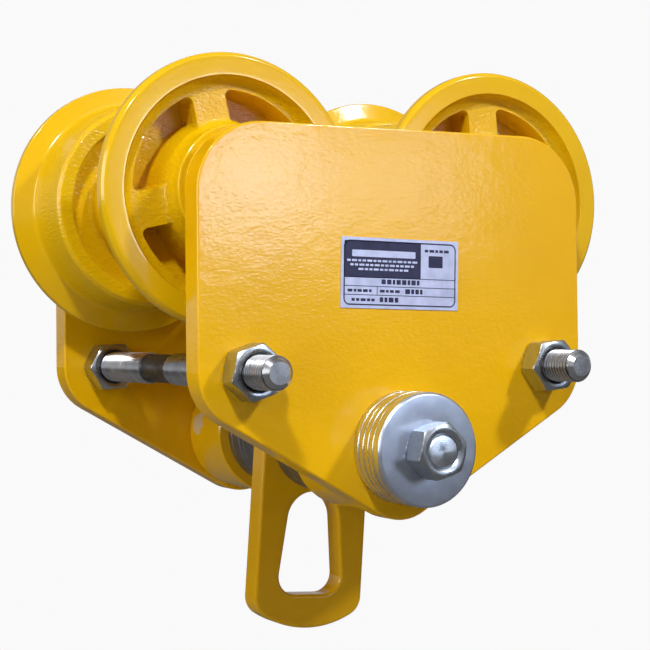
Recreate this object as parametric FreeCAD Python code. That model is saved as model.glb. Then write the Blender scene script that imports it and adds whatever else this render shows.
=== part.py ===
"""Adjustable push-travel beam trolley, 3 t class, built up as it comes apart on a bench.

Row frame: +X along the beam, +Y from the front side plate to the rear one, +Z up.
The origin is the middle of the plane in which the four wheel treads rest on the beam's
lower flange. Lengths are millimetres, angles are degrees.
"""
import FreeCAD, Part
import math
import os

from FreeCAD import Vector

# ---- driving dimensions ----------------------------------------------------------------

# side plates
PLATE_HALF_WIDTH = 120.0
PLATE_TOP = 95.0
PLATE_THICKNESS = 16.0
PLATE_INNER_Y = 91.5
PLATE_TOP_RADIUS = 38.0
PLATE_SHOULDER_Z = -52.5
PLATE_SLOPE_ANGLE = 29.7
PLATE_SHOULDER_RADIUS = 30.0
PLATE_NOSE_RADIUS = 27.0
PLATE_EDGE_ROUND = 1.2

# wheels: axial stations run from the outer face of the flange towards the beam web
WHEEL_X = 84.5
TREAD_RADIUS = 61.0
WHEEL_FACE_Y = 76.0
FLANGE_RADIUS = 74.7
FLANGE_FACE_RADIUS = 72.5
FLANGE_RIM_WIDTH = 7.5
TREAD_START = 11.5
TREAD_TAPER = 1.25
WHEEL_WIDTH = 42.5
RECESS_RADIUS = 62.5
WEB_STATION = 6.0
POCKET_OUTER_RADIUS = 55.2
POCKET_INNER_RADIUS = 40.0
POCKET_FLOOR_STATION = 22.0
SPOKE_WIDTH = 19.5
POCKET_CORNER = 4.5
POCKET_DRAFT = 1.2
POCKET_LIP_ROUND = 1.3
POCKET_LIP_LONGEST = 80.0
HUB_STEPS = ((35.3, -7.5), (31.0, -11.0))
HUB_CONE_TOP_STATION = -1.0
HUB_CONE_FOOT_STATION = 13.0
BACK_RECESS_STATION = 32.5
BACK_HUB_RADIUS = 34.0
BACK_RIM_RADIUS = 50.0
SPOKE_PHASE = {"front_left": 12.5, "front_right": 4.5, "rear_left": 33.0, "rear_right": -21.0}

# wheel axles and their two deep-groove bearings (25 x 52 x 15)
AXLE_RADIUS = 12.5
AXLE_SHOULDER_RADIUS = 16.0
AXLE_SPIGOT_RADIUS = 14.0
AXLE_SPIGOT_DEPTH = 12.0
AXLE_END_STATION = 39.2
AXLE_END_CHAMFER = 0.8
CIRCLIP_GROOVE_DEPTH = 0.6
HUB_NECK_RADIUS = 18.0
BEARING_OUTER_RADIUS = 26.0
BEARING_WIDTH = 15.0
BEARING_START_STATION = 6.7
BALL_RADIUS = 3.97
BALL_PITCH_RADIUS = 19.25
BALL_COUNT = 9
INNER_RACE_RADIUS = 16.4
OUTER_RACE_RADIUS = 22.1
SHIELD_THICKNESS = 0.6
CIRCLIP_OUTER_RADIUS = 27.4
CIRCLIP_WIDTH = 1.5
CAP_THICKNESS = 2.0

# M18 fasteners
THREAD_RADIUS = 9.0
THREAD_CORE_RADIUS = 8.2
NUT_ACROSS_FLATS = 27.0
NUT_HEIGHT = 15.0
NUT_BORE_RADIUS = 9.05
NUT_CHAMFER_ANGLE = 30.0
NUT_FACE_RATIO = 0.95

# tie rods
ROD_X = 93.0
ROD_Z = -35.0
ROD_HALF_LENGTH = 145.0
ROD_PLAIN_HALF_LENGTH = 17.5
ROD_END_CHAMFER = 3.2
ROD_HOLE_RADIUS = 9.5
OUTER_NUT_PHASE = {("left", -1): 18.0, ("right", -1): 6.0, ("left", 1): 41.0, ("right", 1): 27.0}
INNER_NUT_PHASE = {("left", -1): 33.0, ("right", -1): 12.0, ("left", 1): 3.0, ("right", 1): 22.0}

# load shaft with its washers and end discs
SHAFT_Z = -77.5
SHAFT_RADIUS = 19.0
SHAFT_DOME_HEIGHT = 0.6
SHAFT_CLEARANCE = 0.1
SHAFT_STUB_SHORTFALL = 0.5
WASHER_RADIUS = 30.5
WASHER_BORE_RADIUS = 19.4
WASHER_THICKNESS = 5.0
WASHER_EDGE = 0.5
BOSS_RADIUS = 36.7
BOSS_END_Y = 48.0
BOSS_EDGE = 1.0
OUTER_WASHERS = 4
INNER_WASHERS_FRONT = 7
INNER_WASHERS_REAR = 9
DISC_THICKNESS = 7.0
DISC_EDGE = 1.0
SHAFT_NUT_PHASE = {"front": 16.5, "rear": 44.0}

# suspension lug, hanging at a small angle from plumb
LUG_HALF_WIDTH = 35.5
LUG_THICKNESS = 15.0
LUG_END_GAP = 0.5
LUG_BOTTOM = 111.8
LUG_BOTTOM_RADIUS = 60.0
LUG_CORNER_RADIUS = 12.0
LUG_EDGE_ROUND = 2.0
LUG_BORE_RADIUS = 19.08
LUG_SWING = 4.4
EYE_TOP = 32.0
EYE_TOP_RADIUS = 16.6
EYE_LEAN = 6.4
EYE_BOTTOM = 92.2
EYE_CORNER_RADIUS = 11.0

# rating label
LABEL_WIDTH = 74.0
LABEL_HEIGHT = 38.0
LABEL_THICKNESS = 0.5
LABEL_CORNER = 0.8
LABEL_CENTRE_Z = 16.0
LABEL_TURN = 1.5

# ---- derived places --------------------------------------------------------------------

PLATE_OUTER_Y = PLATE_INNER_Y + PLATE_THICKNESS
STACK_OUTER_Y = PLATE_OUTER_Y + OUTER_WASHERS * WASHER_THICKNESS
DISC_OUTER_Y = STACK_OUTER_Y + DISC_THICKNESS
SHAFT_END_Y = DISC_OUTER_Y + NUT_HEIGHT - SHAFT_STUB_SHORTFALL
LUG_FRONT_Y = -BOSS_END_Y + INNER_WASHERS_FRONT * WASHER_THICKNESS + LUG_END_GAP
AXIS_Y = Vector(0, 1, 0)


# ---- small helpers ---------------------------------------------------------------------

def rod_along_y(radius, start, end, x=0.0, z=0.0):
    """A solid cylinder parallel to Y between two Y stations."""
    return Part.makeCylinder(radius, end - start, Vector(x, start, z), AXIS_Y)


def ring_along_y(outer, inner, start, end, x=0.0, z=0.0):
    """A flat ring parallel to Y."""
    return rod_along_y(outer, start, end, x, z).cut(rod_along_y(inner, start, end, x, z))


def revolved(profile):
    """Turn a closed (radius, station) outline about the Y axis."""
    points = [Vector(radius, station, 0) for radius, station in profile]
    wire = Part.makePolygon(points + [points[0]])
    return Part.Face(wire).revolve(Vector(0, 0, 0), AXIS_Y, 360)


def chamfered_ring(outer, inner, start, end, edge):
    """A washer about the Y axis whose outer corners are broken by a small chamfer."""
    return revolved([
        (inner, start), (outer - edge, start), (outer, start + edge),
        (outer, end - edge), (outer - edge, end), (inner, end),
    ])


def on_both_sides(front_shape, side):
    """Leave a front shape alone, or mirror it to the rear of the trolley."""
    if side < 0:
        return front_shape
    return front_shape.mirror(Vector(0, 0, 0), AXIS_Y)


def moved(shape, x=0.0, y=0.0, z=0.0):
    placed = shape.copy()
    placed.translate(Vector(x, y, z))
    return placed


def turned(shape, degrees, x=0.0, z=0.0):
    """Turn a shape about an axis parallel to Y."""
    placed = shape.copy()
    placed.rotate(Vector(x, 0, z), AXIS_Y, degrees)
    return placed


def rounded_outline(corners, radii):
    """A closed wire in the XZ plane: straight runs joined by tangent arcs at the corners."""
    count = len(corners)
    entries = []
    for index, (corner, radius) in enumerate(zip(corners, radii)):
        here = Vector(corner[0], 0, corner[1])
        before = Vector(corners[index - 1][0], 0, corners[index - 1][1])
        after = Vector(corners[(index + 1) % count][0], 0, corners[(index + 1) % count][1])
        to_before = (before - here).normalize()
        to_after = (after - here).normalize()
        half = to_before.getAngle(to_after) / 2
        setback = radius / math.tan(half)
        bisector = (to_before + to_after).normalize()
        centre = here + bisector * (radius / math.sin(half))
        entries.append((here + to_before * setback, centre - bisector * radius,
                        here + to_after * setback))
    edges = []
    for index, (start, middle, end) in enumerate(entries):
        edges.append(Part.Arc(start, middle, end).toShape())
        following = entries[(index + 1) % count][0]
        if (following - end).Length > 1e-6:
            edges.append(Part.LineSegment(end, following).toShape())
    return Part.Wire(edges)


def extruded(wire, start, end):
    """Extrude a wire of the XZ plane between two Y stations."""
    face = Part.Face(wire)
    face.translate(Vector(0, start, 0))
    return face.extrude(Vector(0, end - start, 0))


def round_face_edges(shape, radius, stations):
    """Round the outer edges that lie wholly in the given Y planes."""
    chosen = []
    for edge in shape.Edges:
        box = edge.BoundBox
        for station in stations:
            if abs(box.YMin - station) < 1e-4 and abs(box.YMax - station) < 1e-4:
                chosen.append(edge)
    return shape.makeFillet(radius, chosen)


def hex_nut(start, end, phase):
    """A hexagon nut about the Y axis, chamfered at both ends."""
    corner = NUT_ACROSS_FLATS / 2 / math.cos(math.radians(30))
    points = []
    for index in range(7):
        angle = math.radians(phase + 60 * index)
        points.append(Vector(corner * math.cos(angle), 0, corner * math.sin(angle)))
    prism = extruded(Part.makePolygon(points), start, end)
    face_radius = NUT_ACROSS_FLATS / 2 * NUT_FACE_RATIO
    run_out = (corner + 1 - face_radius) * math.tan(math.radians(NUT_CHAMFER_ANGLE))
    envelope = revolved([
        (NUT_BORE_RADIUS, start), (face_radius, start), (corner + 1, start + run_out),
        (corner + 1, end - run_out), (face_radius, end), (NUT_BORE_RADIUS, end),
    ])
    return prism.common(envelope)


# ---- side plates, bosses and label -----------------------------------------------------

def plate_corners():
    """Outline of a side plate: wide top, straight sides and two slopes to a rounded nose."""
    drop = PLATE_HALF_WIDTH * math.tan(math.radians(PLATE_SLOPE_ANGLE))
    corners = [
        (-PLATE_HALF_WIDTH, PLATE_TOP), (PLATE_HALF_WIDTH, PLATE_TOP),
        (PLATE_HALF_WIDTH, PLATE_SHOULDER_Z), (0.0, PLATE_SHOULDER_Z - drop),
        (-PLATE_HALF_WIDTH, PLATE_SHOULDER_Z),
    ]
    radii = [PLATE_TOP_RADIUS, PLATE_TOP_RADIUS, PLATE_SHOULDER_RADIUS,
             PLATE_NOSE_RADIUS, PLATE_SHOULDER_RADIUS]
    return corners, radii


def side_plate(side):
    corners, radii = plate_corners()
    blank = extruded(rounded_outline(corners, radii), -PLATE_OUTER_Y, -PLATE_INNER_Y)
    blank = round_face_edges(blank, PLATE_EDGE_ROUND, (-PLATE_OUTER_Y, -PLATE_INNER_Y))
    holes = [rod_along_y(SHAFT_RADIUS + SHAFT_CLEARANCE, -PLATE_OUTER_Y - 1,
                         -PLATE_INNER_Y + 1, 0, SHAFT_Z)]
    for x_sign in (-1, 1):
        holes.append(rod_along_y(ROD_HOLE_RADIUS, -PLATE_OUTER_Y - 1, -PLATE_INNER_Y + 1,
                                 x_sign * ROD_X, ROD_Z))
        holes.append(rod_along_y(AXLE_SPIGOT_RADIUS, -PLATE_INNER_Y - AXLE_SPIGOT_DEPTH,
                                 -PLATE_INNER_Y + 1, x_sign * WHEEL_X, TREAD_RADIUS))
    for hole in holes:
        blank = blank.cut(hole)
    return on_both_sides(blank, side)


def shaft_boss(side):
    """Thick tube welded inside the nose, which carries the load shaft."""
    tube = chamfered_ring(BOSS_RADIUS, SHAFT_RADIUS + SHAFT_CLEARANCE, -PLATE_INNER_Y,
                          -BOSS_END_Y, BOSS_EDGE)
    return on_both_sides(moved(tube, z=SHAFT_Z), side)


def rating_label():
    half_width = LABEL_WIDTH / 2
    half_height = LABEL_HEIGHT / 2
    corners = [(-half_width, half_height), (half_width, half_height),
               (half_width, -half_height), (-half_width, -half_height)]
    outline = rounded_outline(corners, [LABEL_CORNER] * 4)
    plate = extruded(outline, -PLATE_OUTER_Y - LABEL_THICKNESS, -PLATE_OUTER_Y)
    return moved(turned(plate, LABEL_TURN), z=LABEL_CENTRE_Z)


# ---- wheels, axles and bearings --------------------------------------------------------

def wheel_profile():
    """Outline of the flanged wheel as (radius, station), starting at the hub neck."""
    (step_b, step_b_end), (step_c, step_c_end) = HUB_STEPS
    cone_at_web = POCKET_INNER_RADIUS + (step_b - POCKET_INNER_RADIUS) * (
        (HUB_CONE_FOOT_STATION - WEB_STATION) / (HUB_CONE_FOOT_STATION - HUB_CONE_TOP_STATION))
    bearing_end = BEARING_START_STATION + 2 * BEARING_WIDTH
    groove_end = bearing_end + CIRCLIP_WIDTH
    return [
        (HUB_NECK_RADIUS, step_c_end), (step_c - 2, step_c_end), (step_c - 0.6, step_c_end + 0.6),
        (step_c, step_c_end + 2), (step_c, step_b_end),
        (step_b - 1.5, step_b_end), (step_b - 0.4, step_b_end + 0.4), (step_b, step_b_end + 1.5),
        (step_b, HUB_CONE_TOP_STATION), (cone_at_web, WEB_STATION),
        (RECESS_RADIUS - 5.5, WEB_STATION), (RECESS_RADIUS - 3.6, WEB_STATION - 0.9),
        (RECESS_RADIUS - 2.2, WEB_STATION - 3.0), (RECESS_RADIUS - 1.6, 1.5),
        (RECESS_RADIUS, 0.0), (FLANGE_FACE_RADIUS, 0.0), (FLANGE_RADIUS - 0.4, 1.3),
        (FLANGE_RADIUS, 2.4), (FLANGE_RADIUS, FLANGE_RIM_WIDTH - 1.0),
        (FLANGE_RADIUS - 1.2, FLANGE_RIM_WIDTH),
        (TREAD_RADIUS + TREAD_TAPER + 2.0, TREAD_START - 1.2),
        (TREAD_RADIUS + TREAD_TAPER + 0.5, TREAD_START),
        (TREAD_RADIUS + TREAD_TAPER, TREAD_START + 1.4),
        (TREAD_RADIUS - TREAD_TAPER, WHEEL_WIDTH - 2.0),
        (TREAD_RADIUS - TREAD_TAPER - 2.0, WHEEL_WIDTH),
        (BACK_RIM_RADIUS, WHEEL_WIDTH), (BACK_RIM_RADIUS - 1.5, BACK_RECESS_STATION),
        (BACK_HUB_RADIUS + 1.5, BACK_RECESS_STATION), (BACK_HUB_RADIUS, WHEEL_WIDTH),
        (BEARING_OUTER_RADIUS, WHEEL_WIDTH),
        (BEARING_OUTER_RADIUS, groove_end), (CIRCLIP_OUTER_RADIUS, groove_end),
        (CIRCLIP_OUTER_RADIUS, bearing_end), (BEARING_OUTER_RADIUS, bearing_end),
        (BEARING_OUTER_RADIUS, BEARING_START_STATION),
        (HUB_NECK_RADIUS, BEARING_START_STATION),
    ]


def pocket_tool():
    """One cored pocket between two spokes, centred on the +X +Z diagonal."""
    sector = revolved([
        (POCKET_INNER_RADIUS, WEB_STATION - 8.0), (POCKET_OUTER_RADIUS, WEB_STATION - 8.0),
        (POCKET_OUTER_RADIUS, WEB_STATION + 1.0),
        (POCKET_OUTER_RADIUS - POCKET_DRAFT, POCKET_FLOOR_STATION),
        (POCKET_INNER_RADIUS + POCKET_DRAFT, POCKET_FLOOR_STATION),
        (POCKET_INNER_RADIUS, HUB_CONE_FOOT_STATION),
    ])
    half_spoke = SPOKE_WIDTH / 2
    reach = POCKET_OUTER_RADIUS + 5
    quadrant = Part.makeBox(reach, 60, reach, Vector(half_spoke, -20, half_spoke))
    tool = sector.common(quadrant)
    upright = []
    for edge in tool.Edges:
        box = edge.BoundBox
        if box.YLength > 10 and box.XLength < 3 and box.ZLength < 3:
            upright.append(edge)
    return tool.makeFillet(POCKET_CORNER, upright)


def round_pocket_mouths(casting):
    """Round the lips of the cored pockets in the web plane."""
    lips = []
    for edge in casting.Edges:
        box = edge.BoundBox
        in_web = abs(box.YMin - WEB_STATION) < 1e-3 and abs(box.YMax - WEB_STATION) < 1e-3
        if in_web and edge.Length < POCKET_LIP_LONGEST:
            lips.append(edge)
    return casting.makeFillet(POCKET_LIP_ROUND, lips)


def wheel_casting():
    casting = revolved(wheel_profile())
    tool = pocket_tool()
    for index in range(4):
        casting = casting.cut(turned(tool, 90 * index))
    return round_pocket_mouths(casting)


def axle_solid():
    """Stub axle: spigot in the plate, shoulder, journal and circlip groove."""
    plate_station = WHEEL_FACE_Y - PLATE_INNER_Y
    groove = BEARING_START_STATION + 2 * BEARING_WIDTH
    return revolved([
        (0.0, plate_station - AXLE_SPIGOT_DEPTH),
        (AXLE_SPIGOT_RADIUS, plate_station - AXLE_SPIGOT_DEPTH),
        (AXLE_SPIGOT_RADIUS, plate_station), (AXLE_SHOULDER_RADIUS, plate_station),
        (AXLE_SHOULDER_RADIUS, BEARING_START_STATION), (AXLE_RADIUS, BEARING_START_STATION),
        (AXLE_RADIUS, groove), (AXLE_RADIUS - CIRCLIP_GROOVE_DEPTH, groove),
        (AXLE_RADIUS - CIRCLIP_GROOVE_DEPTH, groove + CIRCLIP_WIDTH),
        (AXLE_RADIUS, groove + CIRCLIP_WIDTH), (AXLE_RADIUS, AXLE_END_STATION - AXLE_END_CHAMFER),
        (AXLE_RADIUS - AXLE_END_CHAMFER, AXLE_END_STATION),
        (0.0, AXLE_END_STATION),
    ])


def bearing_starts():
    return [BEARING_START_STATION, BEARING_START_STATION + BEARING_WIDTH]


def ball_groove(start, radius):
    """Torus that cuts the raceway of a bearing starting at the given station."""
    return Part.makeTorus(BALL_PITCH_RADIUS, radius, Vector(0, start + BEARING_WIDTH / 2, 0), AXIS_Y)


def outer_rings():
    """Outer rings of both bearings with their sheet-metal shields."""
    solids = []
    for start in bearing_starts():
        ring = chamfered_ring(BEARING_OUTER_RADIUS, OUTER_RACE_RADIUS, start,
                              start + BEARING_WIDTH, 0.6)
        solids.append(ring.cut(ball_groove(start, BALL_RADIUS + 0.03)))
        for face in (start + 0.6, start + BEARING_WIDTH - 0.6 - SHIELD_THICKNESS):
            solids.append(ring_along_y(OUTER_RACE_RADIUS, INNER_RACE_RADIUS + 0.6, face,
                                       face + SHIELD_THICKNESS))
    return solids


def inner_rings():
    solids = []
    for start in bearing_starts():
        ring = ring_along_y(INNER_RACE_RADIUS, AXLE_RADIUS, start, start + BEARING_WIDTH)
        solids.append(ring.cut(ball_groove(start, BALL_RADIUS + 0.08)))
    return solids


def bearing_balls():
    solids = []
    for start in bearing_starts():
        for index in range(BALL_COUNT):
            angle = 2 * math.pi * index / BALL_COUNT
            centre = Vector(BALL_PITCH_RADIUS * math.cos(angle), start + BEARING_WIDTH / 2,
                            BALL_PITCH_RADIUS * math.sin(angle))
            solids.append(Part.makeSphere(BALL_RADIUS, centre))
    return solids


def open_ring(outer, inner, start, end, gap_width):
    """A retaining ring: flat and open on one side."""
    ring = ring_along_y(outer, inner, start, end)
    slot = Part.makeBox(gap_width, end - start + 2, outer + 1, Vector(-gap_width / 2, start - 1, 0))
    return ring.cut(slot)


def wheel_unit():
    """All pieces of one front wheel about its own axis, by node stem."""
    clip_start = BEARING_START_STATION + 2 * BEARING_WIDTH
    clip_end = clip_start + CIRCLIP_WIDTH
    cap = ring_along_y(BEARING_OUTER_RADIUS, 1.0, WHEEL_WIDTH - CAP_THICKNESS, WHEEL_WIDTH)
    cap_centre = rod_along_y(1.0, WHEEL_WIDTH - CAP_THICKNESS, WHEEL_WIDTH)
    return {
        "wheel_casting": [wheel_casting()],
        "bearing_outer_rings": outer_rings(),
        "bearing_inner_rings": inner_rings(),
        "bearing_balls": bearing_balls(),
        "hub_circlip": [open_ring(CIRCLIP_OUTER_RADIUS, OUTER_RACE_RADIUS + 0.6, clip_start,
                                  clip_end, 9.0)],
        "axle_circlip": [open_ring(AXLE_SHOULDER_RADIUS, AXLE_RADIUS - CIRCLIP_GROOVE_DEPTH,
                                   clip_start, clip_end, 7.0)],
        "wheel_axle": [axle_solid()],
        "hub_cap": [cap.fuse(cap_centre).removeSplitter()],
    }


# ---- tie rods, load shaft and their hardware -------------------------------------------

def tie_rod(x_sign):
    end_radius = THREAD_RADIUS - ROD_END_CHAMFER
    end = ROD_HALF_LENGTH
    plain = ROD_PLAIN_HALF_LENGTH
    bar = revolved([
        (0.0, -end), (end_radius, -end), (THREAD_RADIUS, -end + ROD_END_CHAMFER),
        (THREAD_RADIUS, -plain - 0.8), (THREAD_CORE_RADIUS, -plain),
        (THREAD_CORE_RADIUS, plain), (THREAD_RADIUS, plain + 0.8),
        (THREAD_RADIUS, end - ROD_END_CHAMFER), (end_radius, end), (0.0, end),
    ])
    return moved(bar, x_sign * ROD_X, 0, ROD_Z)


def rod_nuts(phases, front_start, front_end):
    """The same nut on both rods, at the front plate and mirrored at the rear one."""
    solids = []
    for (name, side), phase in phases.items():
        x_sign = -1 if name == "left" else 1
        if side < 0:
            nut = hex_nut(front_start, front_end, phase)
        else:
            nut = hex_nut(-front_end, -front_start, phase)
        solids.append(moved(nut, x_sign * ROD_X, 0, ROD_Z))
    return solids


def load_shaft():
    end = SHAFT_END_Y
    shoulder = STACK_OUTER_Y
    crown = THREAD_RADIUS - 1.0
    dome_radius = (crown ** 2 + SHAFT_DOME_HEIGHT ** 2) / (2 * SHAFT_DOME_HEIGHT)
    bar = revolved([
        (0.0, -shoulder), (SHAFT_RADIUS - 1.0, -shoulder), (SHAFT_RADIUS, -shoulder + 1.0),
        (SHAFT_RADIUS, shoulder - 1.0), (SHAFT_RADIUS - 1.0, shoulder), (0.0, shoulder),
    ])
    for side in (-1, 1):
        stub = revolved([
            (0.0, 0.0), (THREAD_RADIUS, 0.0), (THREAD_RADIUS, end - shoulder - 1.0),
            (crown, end - shoulder), (0.0, end - shoulder),
        ])
        ball = Part.makeSphere(dome_radius, Vector(0, end - shoulder + SHAFT_DOME_HEIGHT - dome_radius, 0))
        dome = ball.common(rod_along_y(crown, end - shoulder, end - shoulder + SHAFT_DOME_HEIGHT))
        stub = on_both_sides(stub.fuse(dome), -side)
        bar = bar.fuse(moved(stub, y=side * shoulder))
    return moved(bar.removeSplitter(), z=SHAFT_Z)


def washer_stack(start, count):
    """Spacer washers face to face from a Y station towards +Y."""
    solids = []
    for index in range(count):
        first = start + index * WASHER_THICKNESS
        washer = chamfered_ring(WASHER_RADIUS, WASHER_BORE_RADIUS, first,
                                first + WASHER_THICKNESS, WASHER_EDGE)
        solids.append(moved(washer, z=SHAFT_Z))
    return solids


def end_disc(side):
    disc = chamfered_ring(WASHER_RADIUS, THREAD_RADIUS + 0.3, -DISC_OUTER_Y, -STACK_OUTER_Y,
                          DISC_EDGE)
    return on_both_sides(moved(disc, z=SHAFT_Z), side)


def shaft_nut(name):
    if name == "front":
        nut = hex_nut(-DISC_OUTER_Y - NUT_HEIGHT, -DISC_OUTER_Y, SHAFT_NUT_PHASE[name])
    else:
        nut = hex_nut(DISC_OUTER_Y, DISC_OUTER_Y + NUT_HEIGHT, SHAFT_NUT_PHASE[name])
    return moved(nut, z=SHAFT_Z)


# ---- suspension lug --------------------------------------------------------------------

def lug_blank():
    """Plate with a round top about the shaft, straight sides and a rounded bottom."""
    width = LUG_HALF_WIDTH
    arc_centre = -(LUG_BOTTOM - LUG_BOTTOM_RADIUS)
    inner = width - LUG_CORNER_RADIUS
    reach = LUG_BOTTOM_RADIUS - LUG_CORNER_RADIUS
    corner_z = arc_centre - math.sqrt(reach ** 2 - inner ** 2)
    unit_x = inner / reach
    unit_z = (corner_z - arc_centre) / reach
    tangent = (LUG_BOTTOM_RADIUS * unit_x, arc_centre + LUG_BOTTOM_RADIUS * unit_z)
    middle_angle = (math.atan2(unit_z, unit_x)) / 2
    middle = (inner + LUG_CORNER_RADIUS * math.cos(middle_angle),
              corner_z + LUG_CORNER_RADIUS * math.sin(middle_angle))

    def point(x, z):
        return Vector(x, 0, z)

    edges = [
        Part.Arc(point(-width, 0), point(0, width), point(width, 0)).toShape(),
        Part.LineSegment(point(width, 0), point(width, corner_z)).toShape(),
        Part.Arc(point(width, corner_z), point(*middle), point(*tangent)).toShape(),
        Part.Arc(point(*tangent), point(0, -LUG_BOTTOM), point(-tangent[0], tangent[1])).toShape(),
        Part.Arc(point(-tangent[0], tangent[1]), point(-middle[0], middle[1]),
                 point(-width, corner_z)).toShape(),
        Part.LineSegment(point(-width, corner_z), point(-width, 0)).toShape(),
    ]
    return extruded(Part.Wire(edges), 0, LUG_THICKNESS)


def lug_eye():
    """Pear-shaped hole: a round top whose tangent sides lean out to a flat, wide bottom."""
    lean = math.radians(EYE_LEAN)
    apex = -(EYE_TOP + EYE_TOP_RADIUS) + EYE_TOP_RADIUS / math.sin(lean)
    foot = (apex + EYE_BOTTOM) * math.tan(lean)
    outline = rounded_outline([(0.0, apex), (foot, -EYE_BOTTOM), (-foot, -EYE_BOTTOM)],
                              [EYE_TOP_RADIUS, EYE_CORNER_RADIUS, EYE_CORNER_RADIUS])
    return extruded(outline, -1, LUG_THICKNESS + 1)


def suspension_lug():
    blank = lug_blank().cut(rod_along_y(LUG_BORE_RADIUS, -1, LUG_THICKNESS + 1))
    blank = blank.cut(lug_eye())
    rims = []
    for edge in blank.Edges:
        box = edge.BoundBox
        flat = box.YLength < 1e-6
        bore = abs(box.XLength - 2 * LUG_BORE_RADIUS) < 1e-3
        if flat and not bore:
            rims.append(edge)
    blank = blank.makeFillet(LUG_EDGE_ROUND, rims)
    return moved(turned(blank, LUG_SWING), y=LUG_FRONT_Y, z=SHAFT_Z)


# ---- assembly --------------------------------------------------------------------------

def build_nodes():
    """Every node of the trolley as a list of solids, by node name."""
    nodes = {}
    for name, side in (("front", -1), ("rear", 1)):
        nodes["side_plate_" + name] = [side_plate(side)]
        nodes["shaft_boss_" + name] = [shaft_boss(side)]
        nodes["end_disc_" + name] = [end_disc(side)]
        nodes["shaft_nut_" + name] = [shaft_nut(name)]
    nodes["rating_label"] = [rating_label()]

    unit = wheel_unit()
    for name, side in (("front", -1), ("rear", 1)):
        for hand, x_sign in (("left", -1), ("right", 1)):
            corner = name + "_" + hand
            for stem, solids in unit.items():
                placed = []
                for solid in solids:
                    phased = turned(solid, -SPOKE_PHASE[corner])
                    outward = on_both_sides(moved(phased, y=-WHEEL_FACE_Y), side)
                    placed.append(moved(outward, x_sign * WHEEL_X, 0, TREAD_RADIUS))
                nodes[stem + "_" + corner] = placed

    for name, x_sign in (("left", -1), ("right", 1)):
        nodes["tie_rod_" + name] = [tie_rod(x_sign)]
    nodes["tie_rod_outer_nuts"] = rod_nuts(OUTER_NUT_PHASE, -PLATE_OUTER_Y - NUT_HEIGHT,
                                           -PLATE_OUTER_Y)
    nodes["tie_rod_inner_nuts"] = rod_nuts(INNER_NUT_PHASE, -PLATE_INNER_Y,
                                           -PLATE_INNER_Y + NUT_HEIGHT)

    nodes["load_shaft"] = [load_shaft()]
    nodes["outer_washers_front"] = washer_stack(-STACK_OUTER_Y, OUTER_WASHERS)
    nodes["outer_washers_rear"] = washer_stack(PLATE_OUTER_Y, OUTER_WASHERS)
    nodes["inner_washers_front"] = washer_stack(-BOSS_END_Y, INNER_WASHERS_FRONT)
    rear_start = BOSS_END_Y - INNER_WASHERS_REAR * WASHER_THICKNESS
    nodes["inner_washers_rear"] = washer_stack(rear_start, INNER_WASHERS_REAR)
    nodes["suspension_lug"] = [suspension_lug()]
    return nodes


def main():
    os.makedirs("parts", exist_ok=True)
    for name, solids in build_nodes().items():
        shape = solids[0] if len(solids) == 1 else Part.makeCompound(solids)
        valid = all(solid.isValid() for solid in solids)
        shape.exportStep(os.path.join("parts", name + ".step"))
        print(name, len(solids), "solid(s)", round(shape.Volume), "mm3", "" if valid else "INVALID")


main()
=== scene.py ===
"""Looks of the beam trolley: a floor, soft light, a camera and the visible pieces, built round the CAD frame.

Driving values are in millimetres unless a comment says otherwise; meshes are in metres, in the row frame.
"""

import math

import bmesh
import bpy
from mathutils import Matrix, Vector, noise


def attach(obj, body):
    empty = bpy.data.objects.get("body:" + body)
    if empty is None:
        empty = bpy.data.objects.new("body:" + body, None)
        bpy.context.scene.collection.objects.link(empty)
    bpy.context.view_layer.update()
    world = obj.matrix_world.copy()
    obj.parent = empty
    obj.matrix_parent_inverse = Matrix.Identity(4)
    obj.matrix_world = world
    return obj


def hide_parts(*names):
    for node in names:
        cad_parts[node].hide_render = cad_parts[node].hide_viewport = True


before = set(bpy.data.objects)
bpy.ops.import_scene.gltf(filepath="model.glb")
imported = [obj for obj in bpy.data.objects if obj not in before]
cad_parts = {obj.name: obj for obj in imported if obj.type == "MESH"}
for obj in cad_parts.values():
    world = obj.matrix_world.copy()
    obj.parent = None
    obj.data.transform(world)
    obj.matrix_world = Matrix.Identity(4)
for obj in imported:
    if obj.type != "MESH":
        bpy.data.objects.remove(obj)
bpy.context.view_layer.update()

MM = 0.001

# ---- camera, floor and light -----------------------------------------------------------

# The camera's place is in millimetres, its turns are in degrees and its lens is for a 36 mm sensor.
CAMERA_PLACE = (-456.93, -855.70, -13.6)
CAMERA_YAW = 28.74
CAMERA_PITCH = 1.23
CAMERA_ROLL = -0.59
CAMERA_LENS = 89.6
CAMERA_SHIFT_Y = -0.0464
SENSOR_WIDTH = 36.0
FLOOR_Z = -420.0

# The floor's reach and fade are in metres.
FLOOR_RADIUS = 30.0
FLOOR_SEGMENTS = 96
FLOOR_FADE_START = 0.3
FLOOR_FADE_END = 1.2
FLOOR_COLOUR = (0.93, 0.93, 0.93)
FLOOR_ROUGHNESS = 0.85
FLOOR_BOUNCE = 0.30
FLOOR_IN_REFLECTIONS = 0.13
BACKDROP_GREY = (0.95, 0.95, 0.95)
SURROUND_COLOUR = (1.0, 0.86, 0.72)
SURROUND_STRENGTH = 0.22
REFLECTED_COLOUR = (0.90, 0.95, 1.0)
REFLECTED_LOW = 0.42
REFLECTED_HIGH = 0.6
OVERHEAD_SHARE = 0.4

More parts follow.
